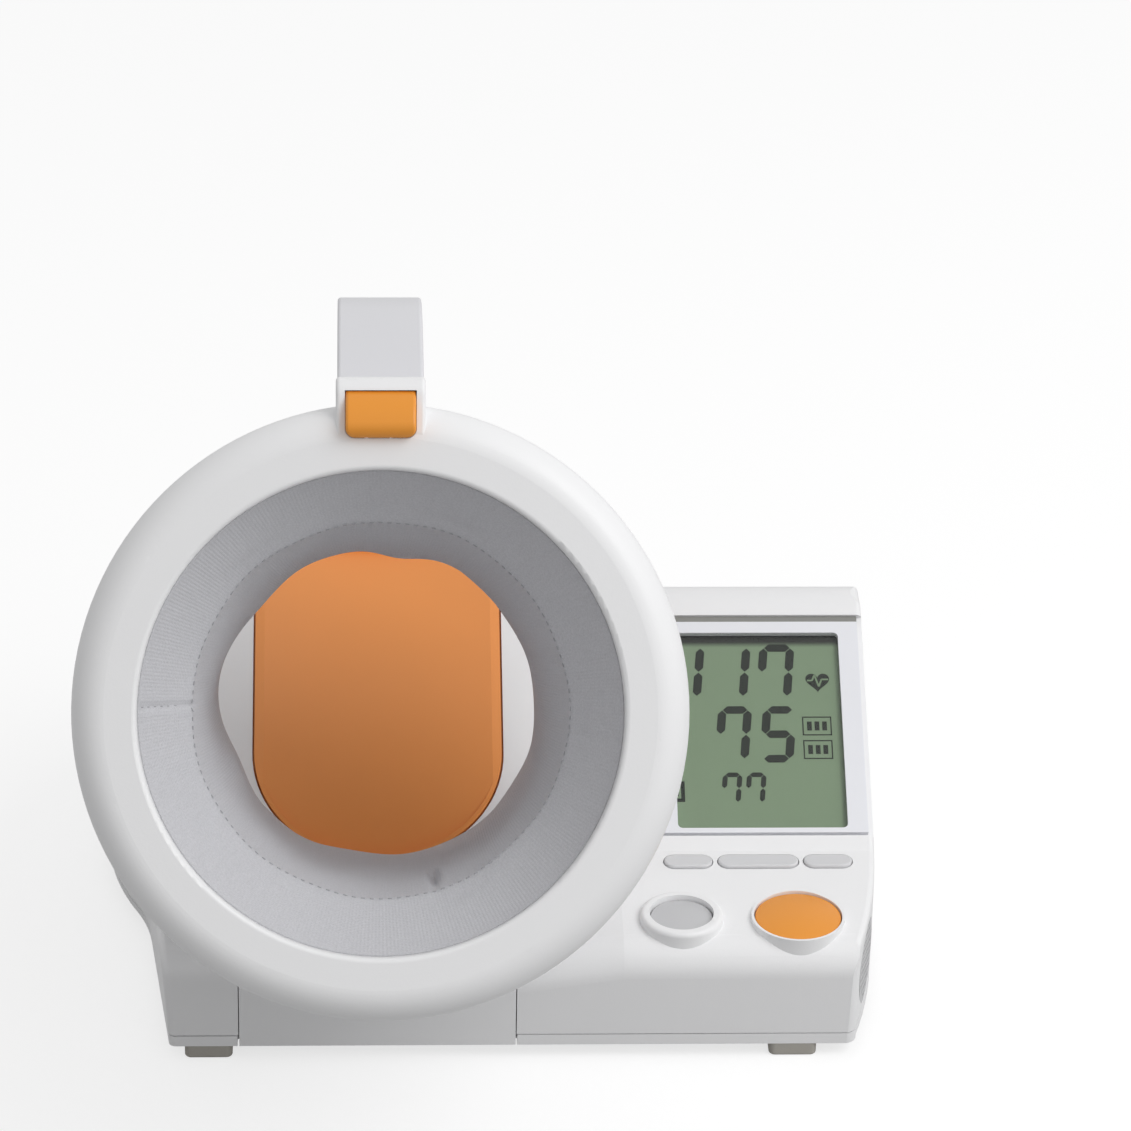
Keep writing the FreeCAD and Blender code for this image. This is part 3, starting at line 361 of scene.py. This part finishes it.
# %% Dress the pieces of the frame
# The lining below takes the place of the only solid in knit_fabric, so that one's finish never shows.
FINISHES = {"white_plastic": white_plastic, "handle_plastic": handle_plastic, "lcd": lcd,
            "orange_plastic": orange_plastic, "rest_plastic": rest_plastic, "steel": steel,
            "grey_plastic": grey_plastic, "grille_plastic": grille_plastic, "bladder": bladder,
            "dark_plastic": dark_plastic, "clear_window": clear_window, "motor_metal": motor_metal,
            "circuit_board": circuit_board, "foot_rubber": foot_rubber, "bush_brass": bush_brass,
            "spring_steel": spring_steel, "knit_fabric": bladder, "seal_rubber": seal_rubber}
SPECIAL = {"display_frame": frame_plastic,
           "power_button": moulded("power_cap", from_screen(198, 198, 200), 0.38, 0.01)}


def dress(piece, material):
    """Gives a piece one material in place of any it has."""
    piece.data.materials.clear()
    piece.data.materials.append(material)


subparts = frame["record"]["subparts"]
for subpart in subparts:
    name = subpart["node"]
    dress(nodes[name], SPECIAL.get(name, FINISHES[subpart["material_slot"]]))
print("dressed", len(subparts), "pieces")

# %% [markdown]
# ## The knitted lining
# A fine grey jersey lines the cuff.  It is sewn to the ring's inner edge, slopes in as a padded
# funnel, dips at a row of stitches, swells into a soft lip over the air bag, and runs back as the
# bore.  At the top and at both sides the cloth folds in from the round, and at the bottom it hangs
# slack.  The surface is the outline below turned about the axis, with the radius changed by a few
# small terms: the folds, the slack, the seams, one pleat and a slight unrest.

# %% The lining's outline
# Pairs of radius and height: from the ring's edge down the funnel and the bore, round the rear lip,
# and back up outside, where the cloth lies against the sleeve.
LINING = np.array([(68.27, 139.4), (67.8, 138.4), (66.2, 135.8), (63.3, 131.4), (60.3, 127.2),
                   (57.2, 122.9), (54.9, 119.8), (53.9, 118.4), (53.6, 116.6), (53.3, 113.5),
                   (52.5, 109.0), (51.6, 103.5), (50.7, 97.0), (50.1, 88.0), (49.8, 76.0),
                   (49.7, 60.0), (49.7, 42.0), (49.7, 24.0), (49.8, 11.0), (50.3, 5.2),
                   (51.4, 3.0), (53.4, 2.75), (56.6, 3.2), (56.9, 7.0), (55.2, 12.0),
                   (54.8, 30.0), (54.8, 60.0), (54.8, 90.0), (54.9, 110.0), (57.0, 117.6),
                   (60.6, 122.4), (65.0, 127.5), (67.9, 131.6), (68.25, 135.4)])


def smooth_outline(corners, count):
    """Closed curve through the corners: cubic with slopes from neighbours, evenly spaced by length."""
    steps = 24                                       # points worked out between two corners
    t = np.linspace(0.0, 1.0, steps, endpoint=False)[None, :, None]
    a, b, c, d = [np.roll(corners, back, 0)[:, None, :] for back in (1, 0, -1, -2)]
    curve = 0.5 * (2 * b + (c - a) * t + (2 * a - 5 * b + 4 * c - d) * t ** 2
                   + (3 * b - a - 3 * c + d) * t ** 3)
    curve = curve.reshape(-1, 2)
    closed = np.vstack([curve, curve[:1]])
    length = np.concatenate([[0.0], np.cumsum(np.linalg.norm(np.diff(closed, axis=0), axis=1))])
    even = np.linspace(0.0, length[-1], count, endpoint=False)
    spaced = [np.interp(even, length, closed[:, part]) for part in (0, 1)]
    return np.stack(spaced, axis=-1), even


outline, along = smooth_outline(LINING, 190)
radii, heights = outline.T
print("lining's outline:", round(float(along[-1]), 1), "mm long")


# %% The lining's surface
def bell(value, centre, width):
    """1 at the centre, falling away over about one width."""
    return np.exp(-((value - centre) / width) ** 2)


def ramp(value, start, end):
    """0 up to start, 1 from end on, straight between them; start may be the greater one."""
    return np.clip((value - start) / (end - start), 0.0, 1.0)


def swells(turn, table):
    """Sum of bells round the axis: each row of the table says how far, at what turn and how wide."""
    gaps = [(turn - centre + 180.0) % 360.0 - 180.0 for _, centre, _ in table]
    return sum(far * bell(gap, 0.0, wide) for gap, (far, _, wide) in zip(gaps, table))


# Turns are degrees from the top, clockwise as the operator sees the mouth; distances are millimetres.
FOLDS = [(5.6, -4, 42), (2.3, 7, 11), (4.8, 56, 31), (1.6, 89, 19), (3.8, -57, 27), (2.7, -116, 13)]
SLACK = [(1.6, 154.0, 24.0), (0.9, -155.0, 12.0)]
LEFT_SEAM = -88.5
SEAMS = [(0.9, LEFT_SEAM, 0.9), (0.4, 97.0, 0.8)]
PLEAT = [(2.6, 163.0, 1.8)]
PLEAT_HEIGHT, PLEAT_LONG = 96.0, 14.0
BORE_WIDEST = 58.0                   # within this radius the cloth can move, beyond it it is held
REAR_LIP = 2.9                       # and below this height it is held too


def lining_radius(turn, radius, height):
    """Radius of the lining: outline, minus the folds, plus slack, pleat, unrest and seams."""
    loose = (radius < BORE_WIDEST) * (height > REAR_LIP)
    folds = swells(turn, FOLDS) * ramp(height, 122.0, 62.0) * ramp(height, 3.0, 15.0)
    slack = swells(turn, SLACK) * ramp(height, REAR_LIP, 4.9) * ramp(height, 110.0, 80.0)
    pleat = swells(turn, PLEAT) * bell(height, PLEAT_HEIGHT, PLEAT_LONG)
    angle = np.radians(turn)
    unrest = 0.22 * np.sin(5 * angle + height / 21.0) + 0.16 * np.sin(11 * angle - height / 13.0)
    shape = slack - folds + pleat + unrest * ramp(height, 134.0, 124.0)
    seams = swells(turn, SEAMS) * ramp(height, 112.0, 118.0) * (radius < 67.0)
    return radius + shape * loose + seams


def lining_at(turn, radius, height):
    """Metres on the table for a turn and a point of the outline, once the radius is changed."""
    angle = np.radians(turn)
    return on_barrel(radius * np.sin(angle), radius * np.cos(angle), height + 0 * angle)


AROUND = 500                         # columns of points round the axis
MEAN_RADIUS = 55.0                   # at which the knit has its true width
turns = np.linspace(-180.0, 180.0, AROUND, endpoint=False)[:, None]
past_rear_lip = (along > 120.0) & (radii > 56.0) & (heights < 6.0)
inside = np.arange(len(outline)) < np.argmax(past_rear_lip)
moved = np.where(inside, lining_radius(turns, radii[None, :], heights[None, :]), radii)
lining_uv = grid_corners(AROUND, len(outline), 2 * math.pi * MEAN_RADIUS * MM / AROUND, along[1] * MM)
lining = make_piece("cuff_lining", lining_at(turns, moved, heights),
                    grid_faces(AROUND, len(outline), True, True).tolist(), lining_uv)
point_outwards(lining)
print("lining:", len(lining.data.polygons), "faces, inner columns", int(inside.sum()))


# %% Knitted jersey
LOOP_WIDE, LOOP_LONG = 0.9, 0.7      # millimetres round the bore and along it


def jersey(name):
    """Knit: columns of small V loops, from two sine waves, over a melange of light and dark yarn."""
    finish = Finish(name)
    cloth = finish.place("UV")
    across, run = finish.part(cloth, "X"), finish.part(cloth, "Y")
    wale = finish.node("Math", {"operation": "SINE"}, {0: across * (2 * math.pi / (LOOP_WIDE * MM))})
    lean = finish.node("Math", {"operation": "ABSOLUTE"}, {0: wale})
    turned = run * (2 * math.pi / (LOOP_LONG * MM)) + lean * 1.6
    loop = finish.node("Math", {"operation": "SINE"}, {0: turned})
    where = finish.place()
    fuzz = finish.noise(where, 3200.0, 3.0, 0.7)
    melange = finish.noise(where, 1900.0, 2.0, 0.7)
    wide = finish.noise(where, 45.0, 3.0)
    light, dark = from_screen(213, 213, 217), from_screen(196, 196, 200)
    yarn = finish.mix(finish.between(melange, 0.25, 0.75), dark, light)
    tone = finish.mix(wide * 0.3, yarn, from_screen(201, 201, 205))
    relief = (loop * 0.5 + wale * 0.5) * 0.5 + fuzz * 0.9
    return finish.close(Base_Color=tone, Roughness=0.92, Sheen_Weight=0.15, Sheen_Roughness=0.5,
                        Normal=finish.bump(relief, 0.09 * MM))


knit_fabric = jersey("knit_fabric")
dress(lining, knit_fabric)
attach(lining, "barrel")
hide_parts("cuff_sleeve")

# %% [markdown]
# ## Stitches
# A row of short thread stitches holds the jersey down where the funnel meets the lip, and a second
# row closes the left seam of the funnel.  One stitch is a capsule: a circle swept along a line, with
# its radius falling off steeply towards both ends, so that they are round.


# %% Stitches as one mesh
CIRCLES, SIDES = 7, 6                # circles along a stitch, points on each
TIP = 0.02                           # radius of the two end circles, as a share of the full one


def capsules(name, centres, along_dir, up_dir, length, thickness):
    """Capsules at the centres: circles of radius thickness * sqrt(1 - t ^ 4) along each direction."""
    t = np.linspace(-1.0, 1.0, CIRCLES)
    ring = np.linspace(0.0, 2 * math.pi, SIDES, endpoint=False)
    side_dir = np.cross(along_dir, up_dir)
    size = thickness * np.sqrt(np.clip(1.0 - t ** 4, TIP ** 2, 1.0))
    run, up, side = [part[:, None, None, :] for part in (along_dir, up_dir, side_dir)]
    points = (centres[:, None, None, :] + run * (t * length / 2)[None, :, None, None]
              + up * (size[:, None] * np.cos(ring))[None, :, :, None]
              + side * (size[:, None] * np.sin(ring))[None, :, :, None])
    first_end = np.array([[0, 1, 2, 3], [0, 3, 4, 5]])
    last_end = first_end[:, ::-1] + (CIRCLES - 1) * SIDES
    faces = np.vstack([grid_faces(CIRCLES, SIDES, False, True), first_end, last_end])
    shift = np.arange(len(centres))[:, None, None] * (CIRCLES * SIDES)
    return make_piece(name, points, (faces[None] + shift).reshape(-1, 4).tolist())


def square_to(vectors, directions):
    """Unit vectors: what is left of each vector once its share along the direction is taken off."""
    rest = vectors - (vectors * directions).sum(1, keepdims=True) * directions
    return rest / np.linalg.norm(rest, axis=1, keepdims=True)


def on_lining(turn, column):
    """Points of the lining at the turns, on a column of its outline."""
    radius, height = outline[column]
    return lining_at(turn, lining_radius(turn, np.full_like(turn, radius), np.full_like(turn, height)),
                     height)


# %% The row round the lip
STITCHES = 132
STITCH_HEIGHT = 118.2                # where the funnel dips to meet the lip
LIP_STITCH, SEAM_STITCH = (1.4 * MM, 0.18 * MM), (1.2 * MM, 0.16 * MM)   # length and radius
LIP_FACES, SEAM_FACES = 127.0, 160.0     # heights on the barrel's axis that the two rows look at
LIFT = 0.1 * MM                      # the thread lies this far above the cloth
lip_turns = np.linspace(-180.0, 180.0, STITCHES, endpoint=False)
lip_column = int(np.argmin(np.where(radii > 54.6, np.inf, np.abs(heights - STITCH_HEIGHT))))
lip_places = on_lining(lip_turns, lip_column)
lip_run = on_lining(lip_turns + 1.0, lip_column) - lip_places
lip_run /= np.linalg.norm(lip_run, axis=1, keepdims=True)
lip_in = square_to(on_barrel(0.0, 0.0, LIP_FACES) - lip_places, lip_run)
lip_row = capsules("cuff_stitches", lip_places + lip_in * LIFT, lip_run, lip_in, *LIP_STITCH)

# %% The row in the left seam
in_funnel = (heights > 120.5) & (heights < 138.0) & (along < 60.0)
seam_columns = np.flatnonzero(in_funnel)[::2]
seam_line = np.array([on_lining(np.array([LEFT_SEAM]), column)[0] for column in seam_columns])
seam_run = np.diff(seam_line, axis=0)
seam_run /= np.linalg.norm(seam_run, axis=1, keepdims=True)
seam_places = (seam_line[1:] + seam_line[:-1]) / 2
seam_in = square_to(on_barrel(0.0, 0.0, SEAM_FACES) - seam_places, seam_run)
seam_row = capsules("seam_stitches", seam_places + seam_in * LIFT, seam_run, seam_in, *SEAM_STITCH)

# %% Thread
thread = moulded("thread", from_screen(172, 172, 176), 0.8, 0.05, 2500.0)
for stitches in (lip_row, seam_row):
    dress(stitches, thread)
    point_outwards(stitches)
    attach(stitches, "barrel")
print("stitches:", STITCHES, "round the lip and", len(seam_places), "in the seam")

# %% [markdown]
# ## Figures on the display
# A segment figure is seven bars.  Each bar is a long hexagon, and the whole figure leans a little.
# The bars are printed on the panel, so each is a plate a few hundredths of a millimetre thick, made
# by carrying its outline up a short way and closing both ends.  Sizes are millimetres on the slope.

# %% Bars of a figure
#: For each bar its two ends in a box one wide and two high.
BARS = {"a": ((0, 2), (1, 2)), "b": ((1, 2), (1, 1)), "c": ((1, 1), (1, 0)), "d": ((0, 0), (1, 0)),
        "e": ((0, 1), (0, 0)), "f": ((0, 2), (0, 1)), "g": ((0, 1), (1, 1))}
FIGURES = {"1": "bc", "7": "abcf", "5": "acdfg"}
BAR_GAP = 0.06                       # gap at each end of a bar, as a share of its width
LEAN = 0.1                           # how far a figure leans over for its height


def bar_outline(start, end, width, gap):
    """Long hexagon between two points: full width along its middle, pointed at both ends."""
    start, end = np.array(start, float), np.array(end, float)
    along_bar = (end - start) / np.linalg.norm(end - start)
    side = np.array([-along_bar[1], along_bar[0]]) * width / 2
    a, b = start + along_bar * gap, end - along_bar * gap
    shoulder = along_bar * width / 2
    return np.array([a, a + shoulder - side, b - shoulder - side, b, b - shoulder + side,
                     a + shoulder + side])


def figure(symbol, right, low, high, wide, width):
    """Outlines of a figure's bars: scaled to its box, then leaned in proportion to height."""
    outlines = []
    half = (high - low - width) / 2
    for letter in FIGURES[symbol]:
        ends = [(right - wide + width / 2 + x * (wide - width), low + width / 2 + y * half)
                for x, y in BARS[letter]]
        shape = bar_outline(*ends, width, width * BAR_GAP)
        shape[:, 0] += (shape[:, 1] - low) * LEAN
        outlines.append(shape)
    return outlines


def plates(name, outlines, low, high, material):
    """Closed plates on the display: each outline at two lifts, joined by a wall."""
    points, faces, first = [], [], 0
    for shape in outlines:
        size = len(shape)
        points += [on_slope(shape[:, 0], shape[:, 1], lift) for lift in (low, high)]
        ring = np.arange(size)
        wall = np.stack([ring, (ring + 1) % size, (ring + 1) % size + size, ring + size], axis=1)
        faces += (wall + first).tolist()
        faces += [(ring[::-1] + first).tolist(), (ring + size + first).tolist()]
        first += 2 * size
    piece = make_piece(name, np.vstack(points), faces, smooth=False)
    point_outwards(piece)
    dress(piece, material)
    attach(piece, "base")


# %% The three readings
#: Figures, their right edges, their foot and head, and the width of a figure and of a bar.
READINGS = [("117", (102.3, 117.0, 131.0), 55.2, 75.5, 11.2, 2.7),
            ("75", (116.6, 130.8), 32.6, 52.9, 10.8, 2.7),
            ("77", (113.5, 121.1), 17.7, 29.0, 6.2, 1.6)]
INK_LOW, INK_HIGH = PANEL_TOP + 0.01, PANEL_TOP + 0.07
bars = []
for symbols, edges, foot, head, wide, width in READINGS:
    for symbol, edge in zip(symbols, edges):
        bars += figure(symbol, edge, foot, head, wide, width)
plates("display_readings", bars, INK_LOW, INK_HIGH, ink)
print("bars on the display:", len(bars))


# %% [markdown]
# Beside the figures are small marks: a heart that blinks with the pulse, two framed fields and a
# battery.  The heart's edge is the well-known curve that starts from x = 16 sin^3 t, and a frame is
# four thin bars.  The pulse line lies over the heart in the panel's own colour.


# %% Small marks
def heart(centre_x, centre_y, size):
    """Heart: x = 16 sin^3 t and y = 13 cos t - 5 cos 2t - 2 cos 3t - cos 4t, scaled to size."""
    t = np.linspace(0.0, 2 * math.pi, 40, endpoint=False)
    x = 16 * np.sin(t) ** 3
    y = 13 * np.cos(t) - 5 * np.cos(2 * t) - 2 * np.cos(3 * t) - np.cos(4 * t)
    return np.stack([centre_x + x * size / 32, centre_y + y * size / 32], axis=1)[::-1]


def bar(x0, y0, x1, y1):
    """Plain rectangle."""
    return np.array([(x0, y0), (x1, y0), (x1, y1), (x0, y1)], float)


def framed(x0, y0, x1, y1, line):
    """Rectangular frame as four thin bars."""
    return [bar(x0, y0, x1, y0 + line), bar(x0, y1 - line, x1, y1),
            bar(x0, y0 + line, x0 + line, y1 - line), bar(x1 - line, y0 + line, x1, y1 - line)]


def stroke(corners, wide):
    """Line through the corners: for each stretch a rectangle of the given width."""
    corners = np.array(corners, float)
    for start, end in zip(corners[:-1], corners[1:]):
        along_line = (end - start) / np.linalg.norm(end - start)
        side = np.array([-along_line[1], along_line[0]]) * wide / 2
        yield np.array([start - side, end - side, end + side, start + side])


# %% The marks in their places
FIELD_LEFT, FIELD_RIGHT, FIELD_HIGH = 134.2, 143.5, 6.8
TICKS, TICK_WIDE = (135.7, 138.1, 140.5), 1.5
PULSE = [(136.4, 62.2), (138.0, 62.2), (138.8, 64.2), (140.1, 60.0), (141.0, 62.6), (143.2, 62.6)]

marks = [heart(139.7, 61.9, 7.6)]
for low in (42.3, 33.8):
    marks += framed(FIELD_LEFT, low, FIELD_RIGHT, low + FIELD_HIGH, 0.4)
    marks += [bar(x, low + 1.8, x + TICK_WIDE, low + 5.0) for x in TICKS]
# The battery runs on to the left under the display's frame, so its left wall isn't drawn.
bottom, top, _, right_wall = framed(89.0, 18.6, 96.2, 25.9, 1.2)
marks += [bottom, top, right_wall, bar(91.0, 20.6, 94.2, 23.9)]
plates("display_marks", marks, INK_LOW, INK_HIGH, ink)
panel_tone = moulded("pulse_line", from_screen(128, 148, 119), 0.3, 0.004)
plates("pulse_line", list(stroke(PULSE, 0.55)), INK_HIGH + 0.01, INK_HIGH + 0.03, panel_tone)
print("marks on the display:", len(marks))

# %% [markdown]
# ## Floor, light and camera
# The object stands on a plain white sweep.  The floor is a pale diffuse surface; to the camera it
# also glows a little, so that it reaches white where the light is full and keeps the soft shadow.
# One lamp high at the right models the round forms, weaker ones in front and at the side soften the
# shadows, and bright surroundings give the rest.


# %% Floor
def floor_finish():
    """White floor: diffuse for every ray, with a glow for the camera and for reflections."""
    finish = Finish("floor_white")
    matt = finish.node("BsdfDiffuse", None, {"Color": (0.36, 0.36, 0.36, 1.0)})
    seen = finish.node("LightPath", out="Is Camera Ray")
    mirror = finish.node("LightPath", out="Is Glossy Ray")
    strength = seen * 0.7 + mirror * 0.45
    glow = finish.node("Emission", None, {"Color": (1, 1, 1, 1), "Strength": strength})
    both = finish.node("AddShader", None, {0: matt, 1: glow})
    finish.node("OutputMaterial", None, {"Surface": both})
    return finish.material


FLOOR_REACH = 6.0                    # metres from the middle to each side
corners = np.array([(-1, -1, 0), (1, -1, 0), (1, 1, 0), (-1, 1, 0)]) * FLOOR_REACH
floor = make_piece("floor", corners, [[0, 1, 2, 3]], smooth=False)
dress(floor, floor_finish())

# %% Surroundings
# White to the camera and in reflections; as a light on the object the sky is only half as strong.
world = bpy.data.worlds.new("studio")
bpy.context.scene.world = world
world.use_nodes = True
world.node_tree.nodes.clear()


def world_node(kind, **sockets):
    """Adds a node to the sky's material and sets its sockets."""
    made = world.node_tree.nodes.new("ShaderNode" + kind)
    for name, value in sockets.items():
        made.inputs[name].default_value = value
    return made


soft = world_node("Background", Color=(1.0, 1.0, 1.0, 1.0), Strength=0.54)
seen = world_node("Background", Color=(1.0, 1.0, 1.0, 1.0), Strength=1.0)
path = world_node("LightPath")
choose = world_node("MixShader")
end = world_node("OutputWorld")
links = world.node_tree.links
share = path.outputs["Is Camera Ray"]
for kind in ("Is Glossy Ray", "Is Transmission Ray"):
    either = world_node("Math")
    either.operation = "MAXIMUM"
    links.new(share, either.inputs[0])
    links.new(path.outputs[kind], either.inputs[1])
    share = either.outputs[0]
links.new(share, choose.inputs[0])
links.new(soft.outputs[0], choose.inputs[1])
links.new(seen.outputs[0], choose.inputs[2])
links.new(choose.outputs[0], end.inputs["Surface"])


# %% Lamps
#: For each lamp its place in metres and its power in watts.
LAMPS = {"key": ((1.0, -0.5, 1.4), 10.8), "front": ((0.9, -1.2, 1.0), 2.8),
         "side": ((1.6, -0.4, 0.6), 1.5)}
LAMP_SIZE = 1.0
LAMP_AIM = Vector((0.0, 0.0, 0.1))


def lamp(name, place, power):
    """Square soft box at a place, turned to face the object."""
    light = bpy.data.lights.new(name, "AREA")
    light.size, light.energy = LAMP_SIZE, power
    body = bpy.data.objects.new(name, light)
    bpy.context.scene.collection.objects.link(body)
    body.location = place
    body.rotation_euler = (LAMP_AIM - Vector(place)).to_track_quat("-Z", "Y").to_euler()


for name, (place, power) in LAMPS.items():
    lamp(name, place, power)
print("lamps:", list(LAMPS))

# %% [markdown]
# The camera is a long lens looking down at the operator's height.  Its place, its two angles and
# the small roll are set as numbers; the three columns of its matrix are the directions to its right,
# up, and backwards.

# %% Camera
CAMERA_PLACE = Vector((AXIS_X - 7.94, -1411.36, 915.92)) * MM
CAMERA_TURN, CAMERA_DROP, CAMERA_ROLL = [math.radians(angle) for angle in (-2.613, 28.714, 1.186)]
LENS, SENSOR = 169.33, 36.0          # focal length and width of the sensor, in millimetres
FARTHEST = 20.0                      # metres that the camera sees

ahead = Vector((-math.sin(CAMERA_TURN) * math.cos(CAMERA_DROP),
                math.cos(CAMERA_TURN) * math.cos(CAMERA_DROP), -math.sin(CAMERA_DROP)))
level = Vector((math.cos(CAMERA_TURN), math.sin(CAMERA_TURN), 0.0))
upright = level.cross(ahead)
right = level * math.cos(CAMERA_ROLL) + upright * math.sin(CAMERA_ROLL)
up = upright * math.cos(CAMERA_ROLL) - level * math.sin(CAMERA_ROLL)
matrix = Matrix((right, up, -ahead)).transposed().to_4x4()
matrix.translation = CAMERA_PLACE
lens = bpy.data.cameras.new("camera")
lens.lens, lens.sensor_width, lens.clip_end = LENS, SENSOR, FARTHEST
camera = bpy.data.objects.new("camera", lens)
bpy.context.scene.collection.objects.link(camera)
camera.matrix_world = matrix
bpy.context.scene.camera = camera
bpy.context.scene.view_settings.view_transform = "Standard"
print("camera at", [round(part, 3) for part in CAMERA_PLACE])

# %% Update the scene
bpy.context.view_layer.update()
